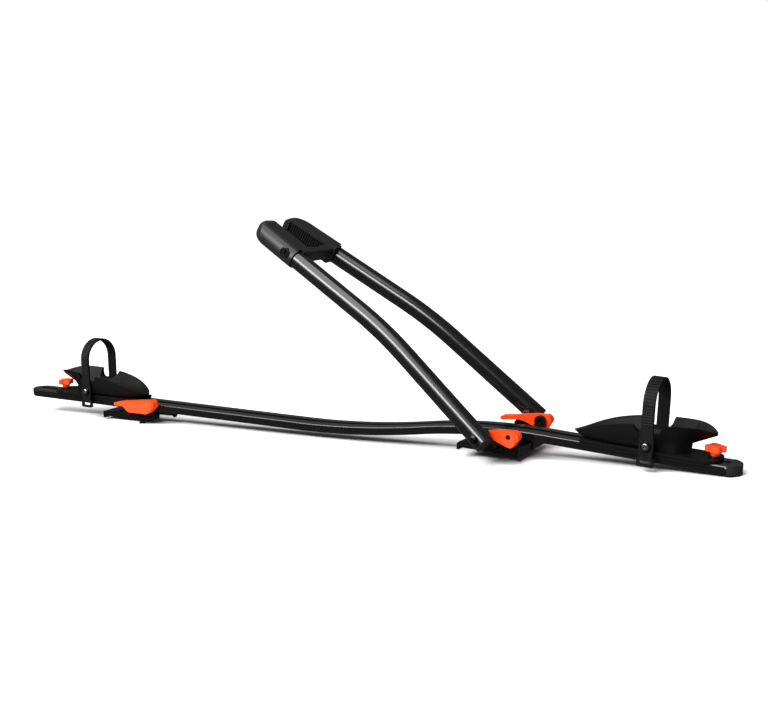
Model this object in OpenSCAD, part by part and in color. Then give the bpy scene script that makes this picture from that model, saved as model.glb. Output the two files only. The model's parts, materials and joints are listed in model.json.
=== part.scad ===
// Roof bike carrier: a bent slotted rail on two clamps, two sliding wheel trays and a two-tube frame arm.
// +X runs along the rail to its front end, +Z is up, and Z = 0 is the floor it stands on.

/* [Rail] */
// Overall length over both end caps
rail_len = 1380; // [1340:1:1420]
// Width of the extrusion
rail_w = 45; // [44:0.5:47]
// Height of the extrusion
rail_h = 14; // [13:0.5:15]
// Downward slope of the rear run, degrees
rear_slope = 1.85; // [1:0.05:2.4]
// Downward slope of the front run, degrees
front_slope = 4.9; // [4:0.1:5.5]
// Slope of the climb between the two bends, degrees
climb_slope = 6.9; // [6:0.1:7.4]
// Radius of the dip, to the underside
dip_r = 1570; // [1400:10:1700]
// Radius of the hump, to the underside
hump_r = 985; // [900:5:1050]
// Mouth of the slot along the top
slot_w = 10; // [8:0.5:11]

/* [Trays] */
// Place of the front strap along the rail
front_strap_x = 561; // [555:1:568]
// Place of the rear strap along the rail
rear_strap_x = -517; // [-524:1:-510]
// Width of the sliding foot
foot_w = 54; // [52:1:58]
// Thickness of the sliding foot
foot_t = 4; // [3.5:0.5:5]
// Wall of the moulded cradle
cradle_wall = 3; // [2.5:0.5:4]
// Height of the strap loop over the rail
strap_top = 108; // [100:1:116]
// Width of the strap
strap_w = 18; // [16:1:20]
// Thickness of the strap
strap_t = 3.6; // [3:0.2:4]
// Span of the knob across its lobes
knob_d = 30; // [26:1:34]

/* [Arms] */
// Outside diameter of the arm tubes
tube_d = 30; // [28:1:32]
// Wall of the arm tubes
tube_wall = 2; // [1.5:0.5:3]
// Pitch of the lower half of the arm, degrees
arm_pitch = 41.5; // [38:0.5:44]
// Bend between the two halves, degrees
arm_bend = 9; // [6:0.5:12]
// Radius of that bend
arm_bend_r = 690; // [500:10:800]
// Straight length below the bend, from the pivot
arm_lower = 172.5; // [160:0.5:190]
// Straight length above the bend, to the head
arm_upper = 146; // [130:1:160]
// Inward lean of each arm, degrees
arm_toe = 6; // [5:0.1:7]

/* [Clamps] */
// Half width of the front clamp
front_clamp_half = 52; // [50:1:54]
// Half width of the rear clamp
rear_clamp_half = 21; // [20:1:22]
// Thickness of a cam lever
lever_t = 15; // [13:1:16]

/* [Hidden] */

$fn = 48;
big = 400;
fit_gap = 0.06;
slide_gap = 0.2;

// Rail path along the underside: the dip's arc and the hump's arc meet on the climb, and a straight run leaves each
meet = [188, 23.5];
dip_centre = meet + dip_r * [-sin(climb_slope), cos(climb_slope)];
hump_centre = meet + hump_r * [sin(climb_slope), -cos(climb_slope)];
dip_start = dip_centre - dip_r * [sin(rear_slope), cos(rear_slope)];
hump_end = hump_centre + hump_r * [sin(front_slope), cos(front_slope)];
cap_len = 18;
rear_end_x = -rail_len / 2 + cap_len;
front_end_x = rail_len / 2 - cap_len;
function rear_bottom(x) = dip_start[1] - tan(rear_slope) * (x - dip_start[0]);
function front_bottom(x) = hump_end[1] - tan(front_slope) * (x - hump_end[0]);
function hump_bottom(x) = hump_centre[1] + sqrt(hump_r * hump_r - pow(x - hump_centre[0], 2));

// Rail section
corner_r = 2.5;
slot_lip = 2.4;
slot_cavity_w = 20;
slot_floor = 5;
slot_corner = 1.5;
floor_t = 2.2;
side_wall = 2.2;
chamber_w = 8;

// Tray, in a frame on the rail's top with +X outwards from the strap
foot_in = -104;
foot_out = 99;
foot_corner = 17;
stud_x = 89;
pedestal_end = 54;
pedestal_half = 20;
groove_floor = 17;
strap_r = strap_top - 72.5;
strap_bolt_z = 12.5;
strap_foot_z = -17;
boss_r = 9;
bolt_r = 3;

// Clamps
front_clamp_at = [320, 15.5];
front_clamp_tilt = 3.3;
rear_clamp_x = -440;
front_pivot = [42.5, 30.3];
rear_pivot = [76.5, 15.6];
pin_r = 4;
front_lever_in = 55;
rear_lever_in = 29.4;

// Arm pivot and ears
pivot_at = [330.5, 48];
arm_y = 99.8;
arm_tail = 14;
ear_in = 78.5;
ear_t = 4.5;
ear_r = 9;

// Heads, in a frame at the collar with +X on along the arm, +Y inwards and +Z down
head_len = 99;
head_top = 19;
head_bottom = 15.5;
head_inner = 21.5;
pad_plane = 16.5;
head_r = 17.5;
head_tail = 6;
collar_depth = 4.5;
spigot_len = 34;
lock_at = [16, -3.5];
lock_r = 8;
jaw_from = 20;
jaw_len = 68;
jaw_half = 12;
rib_pitch = 4.2;

function arc(c, r, from, to, n = 8) =
    [for (i = [0:n]) c + r * [cos(from + (to - from) * i / n), sin(from + (to - from) * i / n)]];

// Smooth curve through [key, value, value] rows: eased between neighbours
function slope(t, i, k) = i == 0 || i == len(t) - 1 ? 0
    : (t[i + 1][k] - t[i - 1][k]) / (t[i + 1][0] - t[i - 1][0]);
function hermite(t, i, k, s, w) = t[i][k] * (1 + 2 * s) * (1 - s) * (1 - s)
    + slope(t, i, k) * w * s * (1 - s) * (1 - s)
    + t[i + 1][k] * s * s * (3 - 2 * s)
    + slope(t, i + 1, k) * w * s * s * (s - 1);
function span_of(t, x, i = 0) = i >= len(t) - 2 || x < t[i + 1][0] ? i : span_of(t, x, i + 1);
function curve_at(t, x, k, i) = hermite(t, i, k, (x - t[i][0]) / (t[i + 1][0] - t[i][0]), t[i + 1][0] - t[i][0]);
function along(t, x, k) = curve_at(t, x, k, span_of(t, x));

module rounded_box(w, h, r) {
    square([w - 2 * r, h], center = true);
    square([w, h - 2 * r], center = true);
    for (x = [-1, 1])
        for (y = [-1, 1])
            translate([x * (w / 2 - r), y * (h / 2 - r)])
                circle(r, $fn = 32);
}

// Extrudes an outline drawn in X and Z along Y, from y0 to y1
module across(y0, y1) {
    translate([0, y1, 0])
        rotate([90, 0, 0])
            linear_extrude(y1 - y0)
                children();
}

module far_side() {
    mirror([0, 1, 0])
        children();
}

module rod_y(r, y0, y1, n = 48) {
    translate([0, y0, 0])
        rotate([-90, 0, 0])
            cylinder(r = r, h = y1 - y0, $fn = n);
}

// Frames that the sub-parts are drawn in

module on_front_run(x) {
    translate([x, 0, front_bottom(x)])
        rotate([0, front_slope, 0])
            translate([0, 0, rail_h])
                children();
}

module on_rear_run(x) {
    translate([x, 0, rear_bottom(x)])
        rotate([0, rear_slope, 0])
            translate([0, 0, rail_h])
                children();
}

module at_rear_tray() {
    on_rear_run(rear_strap_x)
        mirror([1, 0, 0])
            children();
}

module at_front_clamp() {
    translate([front_clamp_at[0], 0, front_clamp_at[1]])
        rotate([0, front_clamp_tilt, 0])
            children();
}

module at_rear_clamp() {
    translate([rear_clamp_x, 0, rear_bottom(rear_clamp_x)])
        rotate([0, rear_slope, 0])
            children();
}

module at_arm() {
    translate([pivot_at[0], -arm_y, pivot_at[1]])
        rotate([0, 180 + arm_pitch, 0])
            rotate([0, 0, arm_toe])
                children();
}

module at_head() {
    at_arm()
        translate([arm_lower + arm_bend_r * sin(arm_bend), 0, arm_bend_r * (1 - cos(arm_bend))])
            rotate([0, -arm_bend, 0])
                translate([arm_upper, 0, 0])
                    children();
}

// Rail

// A round-cornered box in y and z, open at the slot's mouth: left side of the mouth round to its right side
corner_steps = 3;
function slotted(w, low, high, r) = concat([[-slot_w / 2, high]],
    arc([r - w / 2, high - r], r, 90, 180, corner_steps), arc([r - w / 2, low + r], r, 180, 270, corner_steps),
    arc([w / 2 - r, low + r], r, 270, 360, corner_steps), arc([w / 2 - r, high - r], r, 0, 90, corner_steps),
    [[slot_w / 2, high]]);
function reversed(list) = [for (i = [len(list) - 1:-1:0]) list[i]];

// Section of the extrusion: the outside, then back round the slot
rail_outline = concat(slotted(rail_w, 0, rail_h, corner_r),
    reversed(slotted(slot_cavity_w, slot_floor, rail_h - slot_lip, slot_corner)));
function chamber_outline(side) =
    let (y = side * (rail_w / 2 - side_wall - chamber_w / 2), w = chamber_w / 2)
    [[y - w, floor_t], [y + w, floor_t], [y + w, rail_h - floor_t], [y - w, rail_h - floor_t]];

// Stations along the underside: x, z and the slope there
bend_steps = 20;
rail_stations = concat(
    [[rear_end_x, rear_bottom(rear_end_x), -rear_slope]],
    [for (i = [0:bend_steps]) let (a = -rear_slope + (climb_slope + rear_slope) * i / bend_steps)
        [dip_centre[0] + dip_r * sin(a), dip_centre[1] - dip_r * cos(a), a]],
    [for (i = [1:bend_steps]) let (a = climb_slope - (climb_slope + front_slope) * i / bend_steps)
        [hump_centre[0] - hump_r * sin(a), hump_centre[1] + hump_r * cos(a), a]],
    [[front_end_x, front_bottom(front_end_x), -front_slope]]);

// What the rail fills, with a hair of room, up past the saddle's sides
seat_gap = 0.1;
seat_outline = [[-rail_w / 2 - seat_gap, -seat_gap / 2], [rail_w / 2 + seat_gap, -seat_gap / 2],
    [rail_w / 2 + seat_gap, 4 * rail_h], [-rail_w / 2 - seat_gap, 4 * rail_h]];

// Sweeps an outline along the stations; extra runs it on past both ends
module sweep(outline, extra = 0) {
    last = len(rail_stations) - 1;
    points = [for (i = [0:last]) let (s = rail_stations[i], on = i == 0 ? -extra : i == last ? extra : 0)
        for (p = outline)
            [s[0] + on * cos(s[2]) - p[1] * sin(s[2]), p[0], s[1] + on * sin(s[2]) + p[1] * cos(s[2])]];
    polyhedron(points = points, faces = ring_faces(last + 1, len(outline)), convexity = 8);
}

module rail() {
    color("#1b1c1e")
        difference() {
            sweep(rail_outline);
            for (side = [-1, 1])
                sweep(chamber_outline(side), 1);
            at_front_clamp()
                saddle_bolt_holes(front_bolt_x);
            at_rear_clamp()
                saddle_bolt_holes(rear_bolt_x);
        }
}

// End cap: a rounded nose with two pegs that plug into the rail's side chambers
module rail_cap() {
    peg_gap = 0.3;
    intersection() {
        translate([0, 0, rail_h / 2])
            rotate([90, 0, 90])
                linear_extrude(cap_len)
                    rounded_box(rail_w + 0.6, rail_h + 0.6, corner_r + 0.3);
        across(-rail_w, rail_w)
            polygon(concat([[0, -1]], arc([cap_len - 7, 6], 7, -75, 0),
                arc([cap_len - 9, 6], 9, 10, 80), [[0, rail_h + 1]]));
        // Half an ellipse in plan
        linear_extrude(rail_h + 2)
            polygon([for (a = [-90:7.5:90]) [cap_len * cos(a), (rail_w / 2 + 0.6) * sin(a)]]);
        translate([0, -rail_w, 0.01])
            cube([cap_len + 1, 2 * rail_w, rail_h + 2]);
    }
    for (side = [-1, 1])
        translate([-12, side * (rail_w / 2 - side_wall - chamber_w / 2), rail_h / 2])
            rotate([90, 0, 90])
                linear_extrude(13)
                    rounded_box(chamber_w - peg_gap, rail_h - 2 * floor_t - peg_gap, 1.4);
}

module rail_cap_front() {
    color("#2a2b2d")
        on_front_run(front_end_x)
            translate([0, 0, -rail_h])
                rail_cap();
}

module rail_cap_rear() {
    color("#2a2b2d")
        on_rear_run(rear_end_x)
            mirror([1, 0, 0])
                translate([0, 0, -rail_h])
                    rail_cap();
}

// Wheel tray

// Stations along the cradle: place, half width of the rim, height of the rim
cradle_rows = [
    [-121, 1.5, 12], [-116, 8, 13.2], [-109, 15, 15.6], [-98, 21.5, 20.5], [-84, 26.5, 26.5],
    [-66, 30.5, 32.5], [-45, 33, 37.5], [-22, 34.3, 41.3], [0, 34.5, 43.6], [24, 33.5, 45.4],
    [44, 31, 46.5], [59, 27.5, 46.7], [71, 21.5, 45.6], [80, 15.5, 43.2], [86, 9.5, 41], [90.5, 2, 39.6]];
station_step = 5;
side_steps = 6;

// Underside of the cradle: on the foot, lifting at its inner end and jumping up under the nose
hull_base = 3.5;
nose_base = 19.2;
nose_rise = 0.47;
function hull_floor(x) = x < -98 ? hull_base + (-98 - x) * 0.28
    : x <= pedestal_end ? hull_base
    : x < pedestal_end + 2 ? hull_base + (x - pedestal_end) * (nose_base - hull_base) / 2
    : nose_base + (x - pedestal_end - 2) * nose_rise;
// How far the section has turned from a round bowl into the nose's straight flare, 0 to 1
function nose_share(x) = let (t = max(0, min(1, (x + 10) / 44))) t * t * (3 - 2 * t);
// Height at which the flare leaves the pedestal's upright side
function flare_foot(x, low) = low + 0.8 + (x <= pedestal_end ? 13 * nose_share(x) : 0);
// Half width of the pedestal, which narrows to a keel at its end
keel_half = 2.5;
keel_from = 34;
function foot_half(x, w) = x > pedestal_end ? min(keel_half, w * 0.3)
    : min(w * 0.62, pedestal_half
        - (pedestal_half - keel_half) * pow(max(0, x - keel_from) / (pedestal_end - keel_from), 1.4));
function trough_floor(x) = max(groove_floor, hull_floor(x) + cradle_wall + 1.5 * nose_share(x));
function quarter(i) = 90 * i / side_steps;
function flare(i, share) = (1 - share) * (1 - cos(quarter(i))) + share * pow(sin(quarter(i)), 1.1);

// One closed ring of the cradle wall at a station, near rim to far rim outside and back inside
inner_steps = 2 * side_steps + 3;
function cradle_ring(x) =
    let (w = along(cradle_rows, x, 1), h = along(cradle_rows, x, 2), share = nose_share(x),
         foot = foot_half(x, w), low = min(hull_floor(x), h - 2), knee = flare_foot(x, low),
         inner = max(w - cradle_wall, w * 0.4), trough = min(trough_floor(x), h - 0.8))
    concat(
        [for (i = [side_steps:-1:0])
            [x, -foot - (w - foot) * sin(quarter(i)), knee + (h - knee) * flare(i, share)]],
        [[x, -foot, low], [x, foot, low]],
        [for (i = [0:side_steps])
            [x, foot + (w - foot) * sin(quarter(i)), knee + (h - knee) * flare(i, share)]],
        [for (i = [0:inner_steps]) let (t = 1 - 2 * i / inner_steps)
            [x, inner * t, trough + (h - trough) * pow(abs(t), 1.5 - 0.3 * share)]]);

// Faces of a loft whose rings go round the outside and come back inside: its ends are strips between the two
function end_strip(size) = concat(
    [for (i = [0:floor(size / 2) - 2]) for (face = [[i, i + 1, size - 1 - i], [i + 1, size - 2 - i, size - 1 - i]]) face],
    size % 2 == 1 ? [[floor(size / 2) - 1, floor(size / 2), floor(size / 2) + 1]] : []);
function ring_faces(count, size) = concat(
    end_strip(size),
    [for (i = [0:count - 2]) for (j = [0:size - 1]) let (k = (j + 1) % size, a = i * size, b = a + size)
        for (face = [[a + k, a + j, b + j], [a + k, b + j, b + k]]) face],
    [for (face = end_strip(size)) [for (v = reversed(face)) (count - 1) * size + v]]);

module cradle() {
    xs = concat([-121, -118.5], [for (x = [-116:station_step:49]) x], [54, 56, 60, 64, 68, 72, 76, 80, 83.5, 87, 90.5]);
    rings = [for (x = xs) cradle_ring(x)];
    polyhedron(points = [for (r = rings) for (p = r) p], faces = ring_faces(len(rings), len(rings[0])), convexity = 6);
}

module foot_plate() {
    translate([0, 0, slide_gap])
        linear_extrude(foot_t) {
            translate([foot_in, -foot_w / 2])
                square([foot_out - foot_in - foot_corner, foot_w]);
            translate([foot_in, -foot_w / 2 + foot_corner])
                square([foot_out - foot_in, foot_w - 2 * foot_corner]);
            for (side = [-1, 1])
                translate([foot_out - foot_corner, side * (foot_w / 2 - foot_corner)])
                    circle(foot_corner, $fn = 64);
        }
    // Lips that guide the foot along the rail's sides
    for (side = [-1, 1])
        translate([foot_in, side * (rail_w / 2 + 0.4) - (side < 0 ? 2.2 : 0), -5])
            cube([foot_out - foot_in - foot_corner, 2.2, 5 + foot_t]);
}

module tray() {
    difference() {
        union() {
            cradle();
            foot_plate();
            // Bosses that carry the strap clear of the cradle
            for (side = [-1, 1])
                scale([1, side, 1])
                    translate([0, 0, strap_bolt_z])
                        rod_y(boss_r, pedestal_half, strap_r - strap_t / 2);
            // Pad round the stud
            translate([stud_x, 0, foot_t])
                cylinder(r = 9, h = 1.6);
        }
        // Notches that let the strap hug the tyre
        across(-big, big)
            polygon([[-25, 52], [-20, 37], [-16, 31], [-12, 29], [11, 29], [15, 31], [18.5, 37], [21, 52]]);
        translate([0, 0, strap_bolt_z])
            rod_y(bolt_r + 0.25, -big, big);
        translate([stud_x, 0, -1])
            cylinder(r = bolt_r + 0.3, h = 12);
    }
}

module front_tray() {
    color("#202123")
        on_front_run(front_strap_x)
            tray();
}

module rear_tray() {
    color("#202123")
        at_rear_tray()
            tray();
}

// T-bolt: its head is held in the rail's slot and its shank passes the foot into the knob
stud_top = 19;
module stud() {
    head_h = 3.6;
    translate([stud_x, 0, -slot_lip - head_h - 0.3]) {
        translate([-9, -6.5, 0])
            cube([18, 13, head_h]);
        cylinder(r = bolt_r, h = slot_lip + head_h + 0.3 + stud_top);
    }
}

module stud_washer() {
    translate([stud_x, 0, foot_t + 1.6])
        difference() {
            cylinder(r = 6.5, h = 1.2);
            translate([0, 0, -1])
                cylinder(r = bolt_r + 0.15, h = 4);
        }
}

// Four-lobed knob on a tapered stem, with a blind hole for the stud
knob_foot = 7;
module knob() {
    stem_h = 6;
    head_h = 9;
    lobe_r = 5.2;
    translate([stud_x, 0, knob_foot])
        difference() {
            union() {
                cylinder(r1 = 6.2, r2 = 7.6, h = stem_h);
                translate([0, 0, stem_h - 1])
                    cylinder(r = 9.5, h = head_h + 1);
                for (turn = [0:90:270])
                    rotate(turn + 20) {
                        translate([knob_d / 2 - lobe_r, 0, stem_h])
                            cylinder(r = lobe_r, h = head_h - 1);
                        translate([0, -lobe_r, stem_h])
                            cube([knob_d / 2 - lobe_r, 2 * lobe_r, head_h - 1]);
                    }
            }
            translate([0, 0, -1])
                cylinder(r = bolt_r + fit_gap, h = stem_h + head_h - 1.5);
        }
}

module front_tray_stud() {
    color("silver")
        on_front_run(front_strap_x)
            stud();
}

module front_tray_washer() {
    color("silver")
        on_front_run(front_strap_x)
            stud_washer();
}

module front_tray_knob() {
    color("#ff4a1c")
        on_front_run(front_strap_x)
            knob();
}

module rear_tray_stud() {
    color("silver")
        at_rear_tray()
            stud();
}

module rear_tray_washer() {
    color("silver")
        at_rear_tray()
            stud_washer();
}

module rear_tray_knob() {
    color("#ff4a1c")
        at_rear_tray()
            knob();
}

// Strap: a half loop over the tyre, toothed on its near limb, with a pull loop at its lower end
tooth_pitch = 4;
module strap() {
    loop_w = 25;
    loop_h = 12;
    loop_slot = [17, 5.5];
    inner = strap_r - strap_t / 2;
    outer = strap_r + strap_t / 2;
    crown = strap_top - strap_r - strap_t / 2;
    difference() {
        union() {
            translate([-strap_w / 2, 0, crown])
                rotate([90, 0, 90])
                    rotate_extrude(angle = 180, $fn = 96)
                        translate([inner, 0])
                            square([strap_t, strap_w]);
            // Near limb, broader at its bolt, then the pull loop
            across(-outer, -inner)
                polygon([[-strap_w / 2, crown], [-strap_w / 2, 34], [-10.5, 20], [-10.5, 4], [-9, strap_foot_z + loop_h],
                    [9, strap_foot_z + loop_h], [10.5, 4], [10.5, 20], [strap_w / 2, 34], [strap_w / 2, crown]]);
            translate([0, -strap_r, strap_foot_z + loop_h / 2])
                rotate([90, 0, 0])
                    linear_extrude(strap_t + 0.8, center = true)
                        rounded_box(loop_w, loop_h + 1, 2.5);
            // Far limb down to the bolt
            across(inner, outer)
                union() {
                    translate([-strap_w / 2, strap_bolt_z])
                        square([strap_w, crown - strap_bolt_z]);
                    translate([0, strap_bolt_z])
                        circle(strap_w / 2);
                }
            for (i = [0:6])
                translate([-strap_w / 2 + 1.5, -outer, crown - 3 - i * tooth_pitch])
                    strap_tooth();
            for (i = [0:8])
                translate([0, 0, crown])
                    rotate([-7 * i - 5, 0, 0])
                        translate([-strap_w / 2 + 1.5, -outer, -1])
                            strap_tooth();
        }
        translate([0, -strap_r, strap_foot_z + loop_h / 2])
            rotate([90, 0, 0])
                linear_extrude(20, center = true)
                    square(loop_slot, center = true);
        translate([0, 0, strap_bolt_z])
            rod_y(bolt_r + 0.25, -big, big);
    }
}

module strap_tooth() {
    rotate([90, 0, 90])
        linear_extrude(strap_w - 3)
            polygon([[0.4, 0], [-1.1, 0], [-0.5, 2.4], [0.4, 2.4]]);
}

// Bolt through both strap ends and the tray, with a domed head on the near side
module strap_bolt() {
    face = strap_r + strap_t / 2;
    translate([0, 0, strap_bolt_z]) {
        rod_y(bolt_r, -face - 2, face + 9);
        difference() {
            translate([0, -face - 1.6, 0])
                intersection() {
                    rod_y(5.4, -3.4, 0);
                    translate([0, 3.2, 0])
                        sphere(7.6);
                }
            rod_y(1.8, -face - 10, -face - 3, 6);
        }
    }
}

module strap_washer() {
    face = strap_r + strap_t / 2;
    translate([0, 0, strap_bolt_z])
        difference() {
            rod_y(8, -face - 1.6, -face);
            rod_y(bolt_r + 0.15, -face - 3, -face + 1);
        }
}

module strap_nut() {
    face = strap_r + strap_t / 2;
    translate([0, 0, strap_bolt_z])
        difference() {
            rod_y(5.8, face, face + 5, 6);
            rod_y(bolt_r, face - 1, face + 7);
        }
}

module front_strap() {
    color("#141414")
        on_front_run(front_strap_x)
            strap();
}

module front_strap_bolt() {
    color("silver")
        on_front_run(front_strap_x)
            strap_bolt();
}

module front_strap_washer() {
    color("#1c1c1c")
        on_front_run(front_strap_x)
            strap_washer();
}

module front_strap_nut() {
    color("silver")
        on_front_run(front_strap_x)
            strap_nut();
}

module rear_strap() {
    color("#141414")
        at_rear_tray()
            strap();
}

module rear_strap_bolt() {
    color("silver")
        at_rear_tray()
            strap_bolt();
}

module rear_strap_washer() {
    color("#1c1c1c")
        at_rear_tray()
            strap_washer();
}

module rear_strap_nut() {
    color("silver")
        at_rear_tray()
            strap_nut();
}

// Clamp fixings: bolts with their heads in the rail's slot and domed nuts under the casting

front_bolt_x = [-28, 26];
rear_bolt_x = [15, 104];
saddle_bolt_r = 3;

module saddle_bolt_holes(xs) {
    for (x = xs)
        translate([x, 0, -20])
            cylinder(r = saddle_bolt_r + 0.25, h = 60);
}

module saddle_bolt(x, low, high) {
    head_h = 3;
    translate([x, 0, low])
        cylinder(r = saddle_bolt_r, h = high - low);
    translate([x, 0, high])
        cylinder(r = 5.4, h = head_h);
}

// Nut that hangs down from its seat at Z = 0
module hex_nut() {
    translate([0, 0, -4])
        difference() {
            cylinder(r = 5.6, h = 4, $fn = 6);
            translate([0, 0, -1])
                cylinder(r = saddle_bolt_r, h = 6);
        }
}

module domed_nut(x, top) {
    translate([x, 0, top])
        difference() {
            union() {
                translate([0, 0, -4])
                    cylinder(r = 5.6, h = 4, $fn = 6);
                translate([0, 0, -7])
                    cylinder(r1 = 2.6, r2 = 4.4, h = 3);
            }
            translate([0, 0, -5])
                cylinder(r = saddle_bolt_r, h = 6);
        }
}

// Front clamp: a cast saddle under the hump, with a fixed claw and an ear for each arm

front_plate = [-49, 46];
jaw_cut_x = 28;
tongue_y = [14, 44];
tongue_z = [4.2, 8.8];
ear_foot = [-14, 22];
ear_floor = 8.6;

module front_saddle_body() {
    half = front_clamp_half;
    // Plate that the crossbar bears on, with its fixed claw
    across(-half, half)
        polygon([[-51, -4.5], [-46.5, -4.5], [-41, 0], [jaw_cut_x, 0], [jaw_cut_x, 12.5], [-30, 12.5],
            [-47, 8], [-51, 4.5]]);
    across(-half + 7.5, half - 7.5)
        polygon([[jaw_cut_x - 1, 0], [front_plate[1], 0], [front_plate[1], 10.5], [jaw_cut_x - 1, 12.5]]);
    // Cradle that wraps the rail's underside and sides
    across(-rail_w / 2 - 5, rail_w / 2 + 5)
        polygon([[-38, 6], [40, 6], [36, 24], [-34, 24]]);
    // Outriggers and ears that carry the arms
    for (side = [-1, 1])
        scale([1, side, 1]) {
            translate([ear_foot[0], half - 8, ear_floor])
                cube([ear_foot[1] - ear_foot[0], ear_in + ear_t - half + 8, 4]);
            translate([ear_foot[0] + 6, half - 8, ear_floor + 3])
                cube([4, ear_in - half + 8, 5]);
            across(ear_in, ear_in + ear_t)
                union() {
                    polygon([[ear_foot[0], ear_floor], [ear_foot[1], ear_floor], [ear_foot[1], ear_floor + 6],
                        ear_pivot() + [ear_r - 1, 0], ear_pivot() - [ear_r - 1, 0], [ear_foot[0], ear_floor + 8]]);
                    translate(ear_pivot())
                        circle(ear_r);
                }
        }
}

// The arm's pivot in the front clamp's own frame
function ear_pivot() =
    let (dx = pivot_at[0] - front_clamp_at[0], dz = pivot_at[1] - front_clamp_at[1], a = front_clamp_tilt)
    [dx * cos(a) - dz * sin(a), dx * sin(a) + dz * cos(a)];

module front_saddle() {
    color("#232425")
        difference() {
            at_front_clamp()
                difference() {
                    front_saddle_body();
                    saddle_bolt_holes(front_bolt_x);
                    for (i = [0, 1])
                        translate([front_bolt_x[i], 0, -1])
                            cylinder(r = 7, h = 4.6);
                    for (side = [-1, 1])
                        scale([1, side, 1]) {
                            translate([-4, tongue_y[0] - slide_gap, tongue_z[0] - slide_gap])
                                cube([80, tongue_y[1] - tongue_y[0] + 2 * slide_gap,
                                    tongue_z[1] - tongue_z[0] + 2 * slide_gap]);
                            translate([ear_pivot()[0], 0, ear_pivot()[1]])
                                rod_y(pin_r + 0.1, ear_in - 5, ear_in + ear_t + 5);
                        }
                }
            // Seat for the rail, bent to the hump
            sweep(seat_outline);
        }
}

module front_saddle_pad() {
    color("#101010")
        at_front_clamp()
            difference() {
                translate([-40, -front_clamp_half + 3, -1.8])
                    cube([74, 2 * front_clamp_half - 6, 1.8]);
                for (x = front_bolt_x)
                    translate([x, 0, -3])
                        cylinder(r = 7.5, h = 5);
            }
}

module front_saddle_bolts() {
    color("silver")
        at_front_clamp()
            for (x = front_bolt_x)
                saddle_bolt(x, 0.4, front_floor_top(x));
}

// Top of the rail's slot floor above a point of the front clamp
function front_floor_top(x) =
    let (gx = front_clamp_at[0] + x * cos(front_clamp_tilt) + 15 * sin(front_clamp_tilt))
    (hump_bottom(gx) + slot_floor - front_clamp_at[1]) / cos(front_clamp_tilt)
        + x * tan(front_clamp_tilt) + 0.3;

module front_saddle_nuts() {
    color("silver")
        at_front_clamp()
            for (x = front_bolt_x)
                translate([x, 0, 3.6])
                    hex_nut();
}

// Moving jaw: a claw, a tongue that slides in the saddle and an upright that carries the lever's pin
module front_jaw() {
    half = front_clamp_half;
    across(-half, -3)
        polygon([[front_plate[1] + 0.4, 10], [front_plate[1] + 0.4, -1.6], [front_plate[1] - 3, -4.6],
            [front_plate[1] + 5, -4.6], [front_plate[1] + 5.8, 10]]);
    translate([4, -tongue_y[1], tongue_z[0]])
        cube([front_plate[1] - 2, tongue_y[1] - tongue_y[0], tongue_z[1] - tongue_z[0]]);
    difference() {
        across(-front_lever_in + 0.5, -front_clamp_half + 4.6)
            union() {
                polygon([[front_plate[1] - 17, 0.6], [front_plate[1] + 0.4, -1.6], [front_plate[1] + 5.8, 10],
                    front_pivot + [8, 0], front_pivot - [8, 0]]);
                translate(front_pivot)
                    circle(9);
            }
        translate([front_pivot[0], 0, front_pivot[1]])
            rod_y(pin_r, -big, 0);
    }
}

module front_jaw_near() {
    color("#1d1e1f")
        at_front_clamp()
            front_jaw();
}

module front_jaw_far() {
    color("#1d1e1f")
        at_front_clamp()
            far_side()
                front_jaw();
}

// Cam lever outline about its pivot: a thin handle, a cam lobe below and a rounded heel
front_lever_outline = concat(
    arc([-67.5, -4], 3.2, 100, 262, 6),
    [[-40, -3.4], [-31, -4.2]],
    arc([2.6, -9.4], 6.8, 232, 318, 6),
    arc([8, 1.2], 8, -48, 84, 8),
    [[-12, 7.8], [-30, 5.2], [-48, 1.6]]);
rear_lever_outline = concat(
    arc([-75.8, -3.8], 2.6, 110, 265, 6),
    [[-60, -6.8], [-56, -7.6]],
    arc([-44, -12.6], 4.4, 205, 268, 5),
    arc([-4, -9.4], 7.2, 272, 320, 5),
    arc([6.8, 1.4], 8.2, -50, 84, 8),
    [[-30, 5.4], [-46, 3.2], [-62, 1.4]]);

// Lever with a raised panel on its outer face that stops short of the heel; its pin hole ends at hole_end
module cam_lever(outline, y_in, hollow_from, hole_end = big) {
    panel = 1.2;
    difference() {
        union() {
            across(-y_in - lever_t + panel, -y_in)
                polygon(outline);
            across(-y_in - lever_t, -y_in - lever_t + panel + 0.1)
                intersection() {
                    polygon(outline);
                    translate([-100, -15])
                        square([111, 30]);
                }
        }
        rod_y(pin_r + fit_gap, -hole_end, 0);
        // Finger hollow under the handle
        across(-y_in - lever_t + 3, -y_in - 3)
            polygon([[hollow_from, -20], [hollow_from, -4], [hollow_from + 26, -1.5], [hollow_from + 26, -20]]);
    }
}

module front_lever() {
    translate([front_pivot[0], 0, front_pivot[1]])
        cam_lever(front_lever_outline, front_lever_in, -62);
}

module front_lever_near() {
    color("#ff4a1c")
        at_front_clamp()
            front_lever();
}

module front_lever_far() {
    color("#ff4a1c")
        at_front_clamp()
            far_side()
                front_lever();
}

module lever_pin(y_in, y_out) {
    rod_y(pin_r, -y_out, -y_in);
}

module front_lever_pin_near() {
    color("#3a3a3c")
        at_front_clamp()
            translate([front_pivot[0], 0, front_pivot[1]])
                lever_pin(front_clamp_half - 4.6, front_lever_in + lever_t - 4);
}

module front_lever_pin_far() {
    color("#3a3a3c")
        at_front_clamp()
            far_side()
                translate([front_pivot[0], 0, front_pivot[1]])
                    lever_pin(front_clamp_half - 4.6, front_lever_in + lever_t - 4);
}

// Rear clamp: drawn below the rail's underside, which is Z = 0 in its frame

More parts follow.
